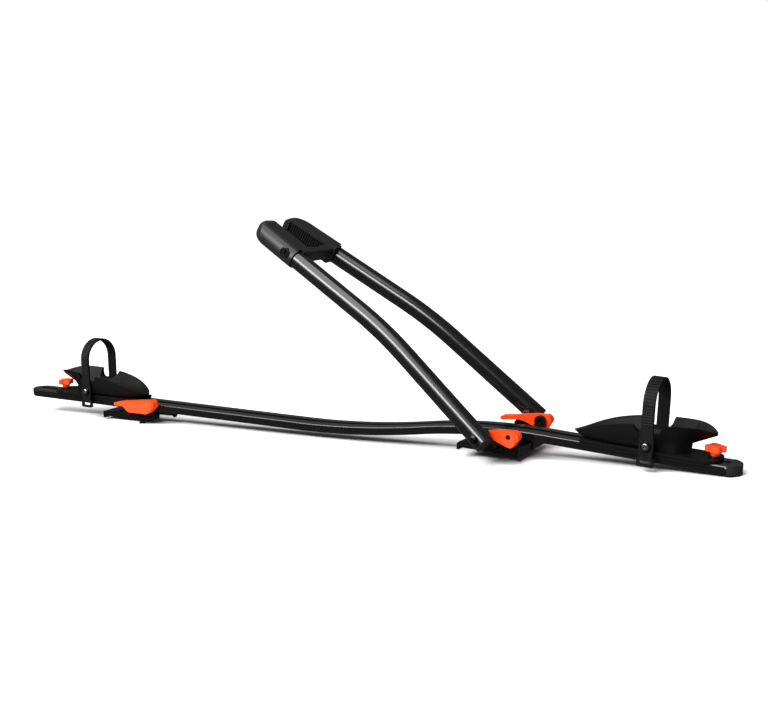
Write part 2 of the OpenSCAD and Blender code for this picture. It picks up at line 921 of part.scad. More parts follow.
rear_plate_z = [-18.5, -11];
rear_claw_x = [-52, 44];
rear_tongue_z = [-17, -12.8];
rear_tongue_x = 27;
rear_nut_seat = -4.7;
rear_claw_z = -24;
rear_jaw_top = -12.4;

module rear_saddle() {
    half = rear_clamp_half;
    color("#232425")
        at_rear_clamp()
            difference() {
                union() {
                    across(-half, half)
                        polygon([[rear_claw_x[0], rear_claw_z], [rear_claw_x[0] + 4, rear_claw_z], [rear_claw_x[0] + 9, rear_plate_z[0]],
                            [rear_claw_x[1], rear_plate_z[0]], [rear_claw_x[1], rear_plate_z[1]], [-6, rear_plate_z[1]],
                            [-14, -7.5], [-26, -9], [rear_claw_x[0], rear_plate_z[1] - 0.6]]);
                    // Post up to the rail and the flange that runs on to the rear bolt
                    across(-half + 3, half - 3)
                        polygon([[-8, -12], [44, -12], [50, -6.5], [112, -4.6], [112, 0], [-2, 0]]);
                }
                saddle_bolt_holes(rear_bolt_x);
                translate([rear_bolt_x[0], 0, -20])
                    cylinder(r = 7, h = 6);
                // Spot face for the nut
                translate([rear_bolt_x[1], 0, -9])
                    cylinder(r = 7, h = 9 + rear_nut_seat);
                translate([rear_tongue_x - slide_gap, -14 - slide_gap, rear_tongue_z[0] - slide_gap])
                    cube([80, 28 + 2 * slide_gap, rear_tongue_z[1] - rear_tongue_z[0] + 2 * slide_gap]);
            }
}

module rear_saddle_pad() {
    color("#101010")
        at_rear_clamp()
            difference() {
                translate([rear_claw_x[0] + 10, -rear_clamp_half + 2, rear_plate_z[0] - 1.8])
                    cube([78, 2 * rear_clamp_half - 4, 1.8]);
                translate([rear_bolt_x[0], 0, -24])
                    cylinder(r = 7.5, h = 9);
            }
}

module rear_saddle_bolts() {
    color("silver")
        at_rear_clamp() {
            saddle_bolt(rear_bolt_x[0], rear_plate_z[0] + 1, slot_floor);
            saddle_bolt(rear_bolt_x[1], -9.4, slot_floor);
        }
}

module rear_saddle_nuts() {
    color("#1c1c1c")
        at_rear_clamp() {
            domed_nut(rear_bolt_x[1], rear_nut_seat);
            translate([rear_bolt_x[0], 0, -14])
                hex_nut();
        }
}

module rear_jaw() {
    half = rear_clamp_half;
    x = rear_claw_x[1];
    side_in = rear_lever_in - 0.6;
    color("#1d1e1f")
        at_rear_clamp()
            difference() {
                union() {
                    across(-side_in, half)
                        polygon([[x + 0.4, rear_jaw_top], [x + 0.4, rear_plate_z[0] - 2.6], [x - 3, rear_claw_z],
                            [x + 5, rear_claw_z], [x + 5.8, rear_jaw_top]]);
                    translate([rear_tongue_x, -14, rear_tongue_z[0]])
                        cube([x + 2 - rear_tongue_x, 28, rear_tongue_z[1] - rear_tongue_z[0]]);
                    across(-side_in, -side_in + 4)
                        union() {
                            polygon([[x + 0.4, -20], [x + 8, -22], [x + 34, -12], rear_pivot + [8, 0], rear_pivot - [8, 0]]);
                            translate(rear_pivot)
                                circle(9);
                        }
                }
                translate([rear_pivot[0], 0, rear_pivot[1]])
                    rod_y(pin_r, -big, 0);
            }
}

module rear_lever() {
    color("#ff4a1c")
        at_rear_clamp()
            translate([rear_pivot[0], 0, rear_pivot[1]])
                cam_lever(rear_lever_outline, rear_lever_in, -72, rear_lever_in + lever_t - 3);
}

module rear_lever_pin() {
    color("#3a3a3c")
        at_rear_clamp()
            translate([rear_pivot[0], 0, rear_pivot[1]])
                lever_pin(rear_lever_in - 4.6, rear_lever_in + lever_t - 4);
}

// Arms

module arm_tube_section() {
    difference() {
        circle(tube_d / 2);
        circle(tube_d / 2 - tube_wall);
    }
}

module arm() {
    difference() {
        at_arm() {
            translate([-arm_tail, 0, 0])
                rotate([90, 0, 90])
                    linear_extrude(arm_tail + arm_lower)
                        arm_tube_section();
            translate([arm_lower, 0, arm_bend_r])
                rotate([90, 0, 0])
                    rotate([0, 0, -90])
                        rotate_extrude(angle = arm_bend, $fn = 720)
                            translate([arm_bend_r, 0])
                                circle_ring();
            translate([arm_lower + arm_bend_r * sin(arm_bend), 0, arm_bend_r * (1 - cos(arm_bend))])
                rotate([0, -arm_bend, 0])
                    rotate([90, 0, 90])
                        linear_extrude(arm_upper + collar_depth)
                            arm_tube_section();
        }
        translate([pivot_at[0], 0, pivot_at[1]])
            rod_y(pin_r + 0.08, -arm_y - tube_d, -arm_y + tube_d);
    }
}

module circle_ring() {
    difference() {
        circle(tube_d / 2, $fn = 48);
        circle(tube_d / 2 - tube_wall, $fn = 48);
    }
}

module arm_near() {
    color("#17181a")
        arm();
}

module arm_far() {
    color("#17181a")
        far_side()
            arm();
}

module arm_plug() {
    at_arm()
        translate([-arm_tail - 1.5, 0, 0])
            rotate([0, 90, 0]) {
                cylinder(r = tube_d / 2 - 0.2, h = 1.5);
                cylinder(r = tube_d / 2 - tube_wall, h = 8);
            }
}

module arm_plug_near() {
    color("#222324")
        arm_plug();
}

module arm_plug_far() {
    color("#222324")
        far_side()
            arm_plug();
}

// Bolt through the ear and the arm, with a domed head outside
module arm_pivot_bolt() {
    outer = arm_y + tube_d / 2 + 0.9;
    translate([pivot_at[0], 0, pivot_at[1]]) {
        rod_y(pin_r, -outer - 1, -ear_in + 6);
        translate([0, -outer, 0])
            intersection() {
                rod_y(7, -4, 0);
                translate([0, 4.6, 0])
                    sphere(9.2);
            }
    }
}

module arm_pivot_nut() {
    translate([pivot_at[0], 0, pivot_at[1]])
        difference() {
            rod_y(7, -ear_in, -ear_in + 5, 6);
            rod_y(pin_r, -ear_in - 1, -ear_in + 7);
        }
}

module arm_pivot_bolt_near() {
    color("#3a3a3c")
        arm_pivot_bolt();
}

module arm_pivot_bolt_far() {
    color("#3a3a3c")
        far_side()
            arm_pivot_bolt();
}

module arm_pivot_nut_near() {
    color("silver")
        arm_pivot_nut();
}

module arm_pivot_nut_far() {
    color("silver")
        far_side()
            arm_pivot_nut();
}

// Heads

// Side view of a head: square at the collar, full and round at its nose
module head_side() {
    nose = 11;
    polygon(concat([[-head_tail, -head_top], [0, -head_top]],
        arc([head_len - nose, -head_top + nose], nose, -90, 0, 10),
        arc([head_len - 17, head_bottom - 17], 17, 0, 90, 10),
        [[0, head_bottom], [-head_tail, head_bottom - 9]]));
}

// Plan of a head: its outer side curves in to the nose
module head_plan() {
    from = 66;
    centre_y = 10;
    side = centre_y + head_r + 0.5;
    polygon(concat([[-head_tail - 1, centre_y - side]],
        [for (a = [-90:7.5:0]) [from + (head_len - from + 0.01) * cos(a), centre_y + side * sin(a)]],
        [[head_len + 0.01, head_inner + 1], [-head_tail - 1, head_inner + 1]]));
}

module head_section() {
    intersection() {
        union() {
            circle(head_r, $fn = 64);
            translate([0, -head_top])
                square([head_inner, head_top + head_bottom - 1.5]);
            translate([-9, -head_top])
                square([12, head_top]);
        }
        translate([-head_r, -head_top])
            square([head_r + head_inner, head_top + head_bottom]);
    }
}

module head_shell() {
    intersection() {
        translate([-head_tail, 0, 0])
            rotate([90, 0, 90])
                linear_extrude(head_len + head_tail)
                    head_section();
        across(-head_r - 5, head_inner + 5)
            head_side();
        translate([0, 0, -head_top - 1])
            linear_extrude(head_top + head_bottom + 2)
                head_plan();
    }
}

// Opening under the hood, which leaves a rim at the nose
module hood_cut() {
    translate([jaw_from - 8, pad_plane, -jaw_half - 1])
        cube([jaw_len + 9, head_inner, head_bottom + jaw_half + 5]);
}

// Spigot that fills the end of the tube
module spigot() {
    translate([-spigot_len, 0, 0])
        rotate([0, 90, 0])
            cylinder(r = tube_d / 2 - tube_wall - 0.05, h = spigot_len + collar_depth + 1);
}

// Socket for the tube, and the hole for the bridge's screw
module collar_bore() {
    translate([-head_tail - 5, 0, 0])
        rotate([0, 90, 0])
            cylinder(r = tube_d / 2 + 0.05, h = head_tail + 5 + collar_depth + 0.1);
    translate([bridge_screw_at[0], 0, bridge_screw_at[1]])
        rod_y(2.55, head_inner - 6, head_inner + 1, 32);
    // The casing stops at the collar on its outer side
    translate([-head_tail - 5, -head_r - 5, -head_top - 5])
        cube([head_tail + 5, head_r + 5, 45]);
}

guide_x = [jaw_from + 14, jaw_from + jaw_len - 14];
guide_end = -14.5;

module head_near() {
    color("#2b2c2e")
        at_head()
            union() {
                difference() {
                    head_shell();
                    collar_bore();
                    // Recess and bore for the lock
                    translate([lock_at[0], 0, lock_at[1]]) {
                        rod_y(10, -head_r - 5, -head_r + 2.5);
                        rod_y(lock_r + fit_gap, -head_r - 5, -2);
                    }
                    // Pocket and guide bores for the sliding jaw
                    translate([jaw_from - 1, pad_plane - 7, -jaw_half - 1])
                        cube([jaw_len + 2, 10, 2 * jaw_half + 2]);
                    hood_cut();
                    for (x = guide_x)
                        translate([x, 0, 0])
                            rod_y(3 + fit_gap, guide_end - 0.5, pad_plane);
                }
                spigot();
            }
}

module head_far() {
    color("#2b2c2e")
        far_side()
            at_head()
                union() {
                    difference() {
                        head_shell();
                        collar_bore();
                        // Seat for the fixed pad
                        translate([jaw_from - 8, pad_plane - 2.5, -jaw_half - 1])
                            cube([jaw_len + 9, 5, 2 * jaw_half + 2]);
                        hood_cut();
                    }
                    spigot();
                }
}

// Ribbed rubber pad, drawn from its back face at Y = 0
module ribbed_pad(length) {
    back = 2.5;
    translate([0, 0, -jaw_half])
        cube([length, back, 2 * jaw_half]);
    ribs = floor((length - 3) / rib_pitch);
    for (i = [0:ribs - 1])
        translate([2 + i * rib_pitch, back - 0.1, -jaw_half + 0.6])
            linear_extrude(2 * jaw_half - 1.2)
                polygon([[0, 0], [2.6, 0], [2.1, 2.1], [0.5, 2.1]]);
}

module grip_pad_far() {
    color("#121212")
        far_side()
            at_head()
                translate([jaw_from - 7, pad_plane - 2.5, 0])
                    ribbed_pad(jaw_len + 7);
}

module grip_jaw() {
    color("#242526")
        at_head() {
            translate([jaw_from, pad_plane - 6.5, -jaw_half])
                cube([jaw_len, 5.5, 2 * jaw_half]);
            for (x = guide_x)
                translate([x, 0, 0])
                    rod_y(3, guide_end, pad_plane - 6);
        }
}

module grip_pad_near() {
    color("#121212")
        at_head()
            translate([jaw_from, pad_plane - 1, 0])
                ribbed_pad(jaw_len);
}

// Lock barrel with its key slot
module lock_barrel() {
    color("#3a3a3c")
        at_head()
            translate([lock_at[0], 0, lock_at[1]])
                difference() {
                    rod_y(lock_r, -head_r + 0.6, -3);
                    translate([-0.8, -head_r - 1, -4])
                        cube([1.6, 6, 8]);
                }
}

// Beam that ties the two heads at their collars and makes the throat of the grip
bridge_x = [-5.5, 11];
bridge_z = [-15, 5];
bridge_screw_at = [7.6, -5];

// The head's frame without its toe, on the carrier's centre plane
head_run = (arm_lower + arm_bend_r * sin(arm_bend) + arm_upper * cos(arm_bend));
head_drop = arm_bend_r * (1 - cos(arm_bend)) + arm_upper * sin(arm_bend);
module at_mid_head() {
    translate([pivot_at[0], 0, pivot_at[1]])
        rotate([0, 180 + arm_pitch, 0])
            translate([head_run * cos(arm_toe), 0, head_drop])
                rotate([0, -arm_bend, 0])
                    children();
}

module bridge_end_cut() {
    at_head()
        translate([-big / 2, -big + head_inner, -big / 2])
            cube([big, big, big]);
}

module head_bridge() {
    color("#242526")
        difference() {
            at_mid_head()
                difference() {
                    across(-50, 50)
                        polygon(concat(arc([bridge_x[0] + 3, bridge_z[0] + 3], 3, 180, 270, 4),
                            arc([bridge_x[1] - 3, bridge_z[0] + 3], 3, 270, 360, 4),
                            arc([bridge_x[1] - 3, bridge_z[1] - 3], 3, 0, 90, 4),
                            arc([bridge_x[0] + 3, bridge_z[1] - 3], 3, 90, 180, 4)));
                    // Shallow saddle for the frame tube
                    translate([bridge_x[1] + 26, 0, 0])
                        cylinder(r = 30, h = 60, center = true, $fn = 96);
                }
            bridge_end_cut();
            far_side()
                bridge_end_cut();
            bridge_screw_rods(2.55, 0.5);
        }
}

module bridge_screw_rods(r, end_gap) {
    for (side = [-1, 1])
        scale([1, side, 1])
            at_head()
                translate([bridge_screw_at[0], 0, bridge_screw_at[1]])
                    rod_y(r, head_inner - 5.5 - end_gap, head_inner + 12 + end_gap, 32);
}

module bridge_screws() {
    color("silver")
        bridge_screw_rods(2.5, 0);
}

rail();
rail_cap_front();
rail_cap_rear();
front_tray();
front_tray_stud();
front_tray_washer();
front_tray_knob();
front_strap();
front_strap_bolt();
front_strap_washer();
front_strap_nut();
rear_tray();
rear_tray_stud();
rear_tray_washer();
rear_tray_knob();
rear_strap();
rear_strap_bolt();
rear_strap_washer();
rear_strap_nut();
front_saddle();
front_saddle_pad();
front_saddle_bolts();
front_saddle_nuts();
front_jaw_near();
front_jaw_far();
front_lever_near();
front_lever_far();
front_lever_pin_near();
front_lever_pin_far();
rear_saddle();
rear_saddle_pad();
rear_saddle_bolts();
rear_saddle_nuts();
rear_jaw();
rear_lever();
rear_lever_pin();
arm_near();
arm_far();
arm_plug_near();
arm_plug_far();
arm_pivot_bolt_near();
arm_pivot_bolt_far();
arm_pivot_nut_near();
arm_pivot_nut_far();
head_near();
head_far();
head_bridge();
bridge_screws();
grip_jaw();
grip_pad_near();
grip_pad_far();
lock_barrel();
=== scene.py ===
import json
from math import cos, pi, radians, sin

import bpy
from mathutils import Matrix, Vector


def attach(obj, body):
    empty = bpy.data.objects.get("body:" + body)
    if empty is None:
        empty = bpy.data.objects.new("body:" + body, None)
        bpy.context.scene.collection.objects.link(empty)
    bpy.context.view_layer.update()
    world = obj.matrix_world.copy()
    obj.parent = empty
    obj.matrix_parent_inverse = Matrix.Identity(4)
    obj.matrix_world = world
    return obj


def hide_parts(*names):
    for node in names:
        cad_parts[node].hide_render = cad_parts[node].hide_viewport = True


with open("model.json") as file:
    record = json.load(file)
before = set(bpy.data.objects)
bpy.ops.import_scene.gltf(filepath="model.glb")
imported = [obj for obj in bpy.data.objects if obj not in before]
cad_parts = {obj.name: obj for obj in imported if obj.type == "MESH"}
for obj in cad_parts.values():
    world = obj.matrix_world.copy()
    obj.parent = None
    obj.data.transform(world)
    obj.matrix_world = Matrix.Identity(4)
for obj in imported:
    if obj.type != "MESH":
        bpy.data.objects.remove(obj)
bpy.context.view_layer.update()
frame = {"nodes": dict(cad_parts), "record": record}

nodes = frame["nodes"]
record = frame["record"]
bpy.ops.object.select_all(action="DESELECT")
scene = bpy.context.scene
node_slots = {row["node"]: row["material_slot"] for row in record["subparts"]}
mm = 0.001

# Camera, at the photograph's own viewpoint: place in metres, angles in degrees, lens in mm

camera_place = (1.1027, -1.6427, 0.4485)
camera_heading = 31.0
camera_down = 8.8
camera_roll = -2.5
camera_lens = 56.15
camera_sensor = 36
camera_reach = (0.05, 60)


def place_camera():
    data = bpy.data.cameras.new("studio_camera")
    data.lens = camera_lens
    data.sensor_width = camera_sensor
    data.sensor_fit = "HORIZONTAL"
    data.clip_start, data.clip_end = camera_reach
    camera = bpy.data.objects.new("studio_camera", data)
    scene.collection.objects.link(camera)
    turn = (
        Matrix.Rotation(radians(camera_heading), 4, "Z")
        @ Matrix.Rotation(radians(90 - camera_down), 4, "X")
        @ Matrix.Rotation(radians(camera_roll), 4, "Z")
    )
    camera.matrix_world = Matrix.Translation(camera_place) @ turn
    scene.camera = camera


place_camera()


# Materials

class Wire:
    """An output socket of a material's node, with ordinary arithmetic."""

    def __init__(self, finish, socket):
        self.finish = finish
        self.socket = socket

    def maths(self, operation, *values):
        return self.finish.node("ShaderNodeMath", {"operation": operation}, dict(enumerate(values)))

    def __add__(self, other):
        return self.maths("ADD", self, other)

    def __mul__(self, other):
        return self.maths("MULTIPLY", self, other)

    def clamped(self):
        return self.finish.node("ShaderNodeClamp", {}, {"Value": self})


class Finish:
    """One material with its Principled shader, built a node at a time on Object coordinates."""

    def __init__(self, name, **constants):
        self.material = bpy.data.materials.new(name)
        self.material.use_nodes = True
        self.tree = self.material.node_tree
        self.shader = self.tree.nodes["Principled BSDF"]
        for socket, value in constants.items():
            self.shader.inputs[socket.replace("_", " ")].default_value = value
        self.place = self.node("ShaderNodeTexCoord", {}, {}, "Object")

    def node(self, kind, settings, values, output=0):
        made = self.tree.nodes.new(kind)
        for key, value in settings.items():
            setattr(made, key, value)
        for key, value in values.items():
            if isinstance(value, Wire):
                self.tree.links.new(value.socket, made.inputs[key])
            else:
                made.inputs[key].default_value = value
        return Wire(self, made.outputs[output])

    def noise(self, scale, detail, place=None):
        values = {"Vector": place or self.place, "Scale": scale, "Detail": detail}
        return self.node("ShaderNodeTexNoise", {}, values)

    def stretched(self, scale):
        return self.node("ShaderNodeMapping", {}, {"Vector": self.place, "Scale": scale})

    def cells(self, scale):
        return self.node("ShaderNodeTexVoronoi", {}, {"Vector": self.place, "Scale": scale})

    def feed(self, socket, wire):
        self.tree.links.new(wire.socket, self.shader.inputs[socket])

    def colour(self, factor, first, second):
        """Base colour that runs from the first to the second with the factor."""
        values = {0: factor, 6: first, 7: second}
        self.feed("Base Color", self.node("ShaderNodeMix", {"data_type": "RGBA"}, values, 2))

    def bump(self, height, strength, distance):
        values = {"Height": height, "Strength": strength, "Distance": distance}
        self.feed("Normal", self.node("ShaderNodeBump", {}, values, "Normal"))


def grey(level, warmth=0.0):
    return (level * (1 + warmth), level, level * (1 - warmth), 1)


def gloss_black(name, level, rough, shine):
    """Powder coat: near-black, glossy, with the faint waviness that coat has."""
    finish = Finish(name, Specular_IOR_Level=shine, Coat_Roughness=0.1)
    cloud = finish.noise(9, 3)
    finish.colour(cloud, grey(level), grey(level * 1.6))
    finish.feed("Roughness", finish.noise(40, 4) * 0.08 + rough)
    finish.feed("Coat Weight", cloud * 0.1 + 0.06)
    finish.bump(finish.noise(520, 2), 0.05, 0.0002)
    return finish.material


def moulded_black(name, level, rough, grain=2400, depth=0.3, shine=0.14):
    """Moulded plastic with a fine spark-eroded grain and slightly uneven sheen."""
    finish = Finish(name, Specular_IOR_Level=shine)
    cloud = finish.noise(22, 3)
    finish.colour(cloud, grey(level), grey(level * 1.6))
    speckle = finish.cells(grain)
    finish.feed("Roughness", (cloud * 0.14 + rough + speckle * 0.05).clamped())
    finish.bump(speckle * 0.5 + finish.noise(grain * 0.6, 3) * 0.5, depth, 0.0002)
    return finish.material


def satin_coat(name, level, rough):
    """Satin coat over a casting: soft sheen over a slight cast texture."""
    finish = Finish(name, Specular_IOR_Level=0.18)
    cloud = finish.noise(30, 4)
    finish.colour(cloud, grey(level), grey(level * 1.7))
    finish.feed("Roughness", finish.noise(120, 3) * 0.16 + rough)
    finish.bump(finish.noise(900, 3), 0.2, 0.0003)
    return finish.material


def rubber_black(name, level):
    """Rubber: dull, a trace warm, with a fine grain and a cloudy sheen."""
    finish = Finish(name, Specular_IOR_Level=0.12)
    cloud = finish.noise(45, 3)
    finish.colour(cloud, grey(level, 0.04), grey(level * 1.8, 0.04))
    finish.feed("Roughness", cloud * 0.18 + 0.5)
    finish.bump(finish.noise(1800, 3), 0.25, 0.0002)
    return finish.material


def orange_plastic(name, deep, pale):
    """Bright moulding: an even colour with faint paler clouds."""
    finish = Finish(name, Specular_IOR_Level=0.3)
    finish.colour(finish.noise(28, 3), deep, pale)
    finish.feed("Roughness", finish.noise(160, 3) * 0.14 + 0.28)
    finish.bump(finish.noise(1500, 2), 0.1, 0.0002)
    return finish.material


def plated_steel(name, level, rough):
    """Plated steel with faint turning marks and dulled patches."""
    finish = Finish(name, Metallic=1.0)
    cloud = finish.noise(90, 4)
    finish.colour(cloud, grey(level), grey(level * 0.6, 0.03))
    finish.feed("Roughness", cloud * 0.2 + rough)
    finish.bump(finish.noise(1, 2, place=finish.stretched((3000, 500, 3000))), 0.1, 0.0002)
    return finish.material


finishes = {
    "rail_gloss": gloss_black("rail_gloss_coat", 0.0022, 0.15, shine=0.4),
    "tube_gloss": gloss_black("tube_gloss_coat", 0.0020, 0.19, shine=0.55),
    "cap_matte": moulded_black("cap_matte_plastic", 0.010, 0.5),
    "tray_matte": moulded_black("tray_matte_plastic", 0.0026, 0.42, grain=1700, depth=0.2, shine=0.1),
    "strap_rubber": rubber_black("strap_rubber_band", 0.003),
    "pad_rubber": rubber_black("grip_rubber", 0.003),
    "lever_orange": orange_plastic("orange_moulding", deep=(0.76, 0.044, 0.004, 1), pale=(0.84, 0.06, 0.006, 1)),
    "clamp_satin": satin_coat("clamp_satin_coat", 0.002, 0.28),
    "head_satin": moulded_black("head_satin_plastic", 0.006, 0.3, grain=2600, depth=0.12, shine=0.3),
    "steel": plated_steel("bright_zinc", 0.3, 0.18),
    "dark_steel": plated_steel("black_zinc", 0.03, 0.26),
}

for name, node in nodes.items():
    node.data.materials.clear()
    node.data.materials.append(finishes[node_slots[name]])


# Work on one piece; lengths are in mm and angles in degrees unless a line says otherwise

weld_gap = 0.02
hair = 0.01
round_sides = 96


def only(piece):
    bpy.ops.object.select_all(action="DESELECT")
    piece.select_set(True)
    bpy.context.view_layer.objects.active = piece


class Editing:
    """Edit mode on one piece, with all of its mesh selected or with only the marked edges."""

    def __init__(self, piece, everything=True):
        self.piece = piece
        self.everything = everything

    def __enter__(self):
        only(self.piece)
        bpy.ops.object.mode_set(mode="EDIT")
        if self.everything:
            bpy.ops.mesh.select_all(action="SELECT")

    def __exit__(self, *_):
        bpy.ops.object.mode_set(mode="OBJECT")


def apply_modifiers(piece):
    only(piece)
    for modifier in list(piece.modifiers):
        bpy.ops.object.modifier_apply(modifier=modifier.name)


def apply_transform():
    bpy.ops.object.transform_apply(location=True, rotation=True, scale=True)


def cut_with(piece, cutter, operation):
    cut = piece.modifiers.new("cut", "BOOLEAN")
    cut.operation = operation
    cut.solver = "EXACT"
    cut.object = cutter
    apply_modifiers(piece)
    bpy.data.objects.remove(cutter)


def round_edges(piece, radius, segments, corner):
    """Rounds every edge whose faces meet at more than the corner angle."""
    bevel = piece.modifiers.new("edge_radius", "BEVEL")
    bevel.width = radius * mm
    bevel.segments = segments
    bevel.limit_method = "ANGLE"
    bevel.angle_limit = radians(corner)
    apply_modifiers(piece)


def round_level_edges(piece, is_rim, radius, segments, clamp):
    """Rounds those level edges of a block whose two ends pass a test."""
    with Editing(piece):
        bpy.ops.mesh.select_all(action="DESELECT")
    for edge in piece.data.edges:
        first, second = (piece.data.vertices[v].co for v in edge.vertices)
        edge.select = abs(first.z - second.z) < hair * mm and is_rim(first, second)
    with Editing(piece, everything=False):
        bpy.ops.mesh.select_mode(type="EDGE")
        bpy.ops.mesh.bevel(offset=radius * mm, segments=segments, clamp_overlap=clamp)


def face_outward(piece):
    with Editing(piece):
        bpy.ops.mesh.normals_make_consistent(inside=False)


def smooth(piece, corner):
    """Smooth shading that keeps the flat faces flat and the corners above the angle sharp."""
    only(piece)
    bpy.ops.object.shade_smooth_by_angle(angle=radians(corner))
    weights = piece.modifiers.new("flat_faces", "WEIGHTED_NORMAL")
    weights.keep_sharp = True
    apply_modifiers(piece)


def oval_block(half_length, half_width, low, high):
    """An upright block with an oval plan, between two heights."""
    bpy.ops.mesh.primitive_cylinder_add(
        vertices=round_sides, radius=1, depth=(high - low) * mm, location=(0, 0, (low + high) / 2 * mm)
    )
    block = bpy.context.active_object
    block.scale = (half_length * mm, half_width * mm, 1)
    apply_transform()
    return block


def move_vertices(piece, moved):
    for vertex in piece.data.vertices:
        vertex.co = moved(vertex.co)


# Softened copies of the nodes, with the small radii that moulds give them

def merged_copy(name, flatten):
    """A copy of a node's loose triangles, joined up and with its flat faces made whole."""
    piece = bpy.data.objects.new(name + "_moulded", nodes[name].data.copy())
    scene.collection.objects.link(piece)
    with Editing(piece):
        bpy.ops.mesh.remove_doubles(threshold=weld_gap * mm)
        if flatten:
            bpy.ops.mesh.dissolve_limited(angle_limit=radians(flatten))
    return piece


def stand_in(piece, name):
    """Puts a finished piece in a node's place, on the same body and with the same material."""
    body = next(body for body, members in record["behaviour"]["bodies"].items() if name in members)
    slot = node_slots[name]
    piece.name = name + "_moulded"
    piece.data.name = name + "_moulded"
    piece.data.materials.clear()
    piece.data.materials.append(finishes[slot])
    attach(piece, body)
    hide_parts(name)


def softened(name, radius=0, segments=2, corner=28, flatten=0.6, shade=40, cutter=None, kept_in=None):
    piece = merged_copy(name, flatten)
    if cutter:
        cut_with(piece, cutter, "DIFFERENCE")
    if kept_in:
        cut_with(piece, kept_in, "INTERSECT")
    if radius:
        round_edges(piece, radius, segments, corner)
    smooth(piece, shade)
    stand_in(piece, name)


# Frames of the clamps, arms, heads and rail ends, as the drawing has them

rail_reach = 672
front_tilt, rear_tilt, end_tilt = 3.3, 1.85, 4.9
arm_tilt, arm_toe, head_tilt = 221.5, 6, -9


def turned(place, tilt, toe=0.0):
    return (
        Matrix.Translation([c * mm for c in place])
        @ Matrix.Rotation(radians(tilt), 4, "Y")
        @ Matrix.Rotation(radians(toe), 4, "Z")
    )


mirrored = Matrix.Scale(-1, 4, (0, 1, 0))
turned_back = Matrix.Scale(-1, 4, (1, 0, 0))
front_lever_frame = turned((364.174, 0, 43.303), front_tilt)
rear_lever_frame = turned((-363.036, 0, 38.625), rear_tilt)
front_end_frame = turned((rail_reach, 0, 2.9), end_tilt)
rear_end_frame = turned((-rail_reach, 0, 33), rear_tilt) @ turned_back
arm_frame = turned((330.5, -99.8, 48), arm_tilt, arm_toe)
head_frame = turned((-6.559, -55.413, 304.367), arm_tilt, arm_toe) @ Matrix.Rotation(radians(head_tilt), 4, "Y")

# Levers: two cheeks with a gap between them at the heel, where the claw's upright shows

heel_gap_x = (5, 30)
heel_gap_z = (-22, 22)
front_gap_y = (-65.5, -60)
rear_gap_y = (-40, -34.5)


def gap_filler(gap_y, frame_matrix):
    """A box that fills the gap between a lever's cheeks; it cuts the gap."""
    low, high = zip(heel_gap_x, gap_y, heel_gap_z)
    bpy.ops.mesh.primitive_cube_add(size=1)
    box = bpy.context.active_object
    box.scale = [(h - l) * mm for l, h in zip(low, high)]
    box.location = [(l + h) / 2 * mm for l, h in zip(low, high)]
    apply_transform()
    box.data.transform(frame_matrix)
    return box


softened("front_lever_near", 1.1, 3, cutter=gap_filler(front_gap_y, front_lever_frame))
softened("front_lever_far", 1.1, 3, cutter=gap_filler(front_gap_y, mirrored @ front_lever_frame))
softened("rear_lever", 1.1, 3, cutter=gap_filler(rear_gap_y, rear_lever_frame))

# The rest of the mouldings, castings and fixings: edge radius, segments of the round, least corner that is
# rounded, and the flattening angle of the curved forms that need a smaller one

soft_nodes = {
    "front_tray rear_tray": (0.9, 2, 48, 0.2),
    "front_tray_knob rear_tray_knob": (1.0, 3, 35),
    "front_strap rear_strap": (0.4, 2, 50, 0.2),
    "front_saddle": (0.8, 2, 35, 0.2),
    "rear_saddle": (0.9, 2, 30),
    "front_jaw_near front_jaw_far rear_jaw": (0.7, 2, 35),
    "arm_plug_near arm_plug_far": (0.4, 2, 50),
    "head_bridge": (1.2, 3, 35),
    "grip_jaw": (0.6, 2, 50),
    "grip_pad_near grip_pad_far": (0.35, 2, 50),
    "lock_barrel": (0.5, 2, 50),
    "arm_pivot_bolt_near arm_pivot_bolt_far": (0.3, 2, 50),
    "front_strap_bolt rear_strap_bolt front_strap_washer rear_strap_washer": (0.3, 2, 50),
}
for names, settings in soft_nodes.items():
    for name in names.split():
        softened(name, *settings)

# Rail ends: half ovals in plan, which the caps finish. Known fault: the front cap is the first piece whose
# marked edges are rounded, and Blender is still in vertex mode then, so it rounds every edge, which leaves
# that cap only a slight rim. The rear cap has the full rim.

rail_half = 22.62
rail_heights = (-40, 160)
cap_half = 22.8
cap_heights = (0.02, 14.3)
cap_length = 17.2
cap_rim = 5.2
front_oval = 24
rear_oval = 32
front_centre = rail_reach + cap_length - front_oval
rear_centre = -(rail_reach + cap_length - rear_oval)


def rail_envelope():
    """What the rail keeps: everything between two half ovals."""
    block = oval_block(rear_oval, rail_half, *rail_heights)

    def spread(place):
        if place.x > hair * mm:
            return Vector((place.x * front_oval / rear_oval + front_centre * mm, place.y, place.z))
        return Vector((place.x + rear_centre * mm, place.y, place.z))

    move_vertices(block, spread)
    return block


def end_cap(name, oval, frame_matrix):
    """The end of an oval block, cut off flat where it meets the rail and rounded at its rims."""
    cap = oval_block(oval, cap_half, *cap_heights)
    cap.data.transform(Matrix.Translation(((cap_length - oval) * mm, 0, 0)))
    with Editing(cap):
        bpy.ops.mesh.bisect(plane_co=(0, 0, 0), plane_no=(1, 0, 0), use_fill=True, clear_inner=True)

    def is_rim(first, second):
        return max(first.x, second.x) > hair * mm

    round_level_edges(cap, is_rim, cap_rim, segments=6, clamp=True)
    cap.data.transform(frame_matrix)
    face_outward(cap)
    smooth(cap, 50)
    stand_in(cap, name)


softened("rail", flatten=0, shade=38, kept_in=rail_envelope())
end_cap("rail_cap_front", front_oval, front_end_frame)
end_cap("rail_cap_rear", rear_oval, rear_end_frame)

# Gripping heads: a half-round outer side that runs on round the nose. Lengths run along the arm from the
# head's frame; the nose is half an oval, centred towards the inner side.

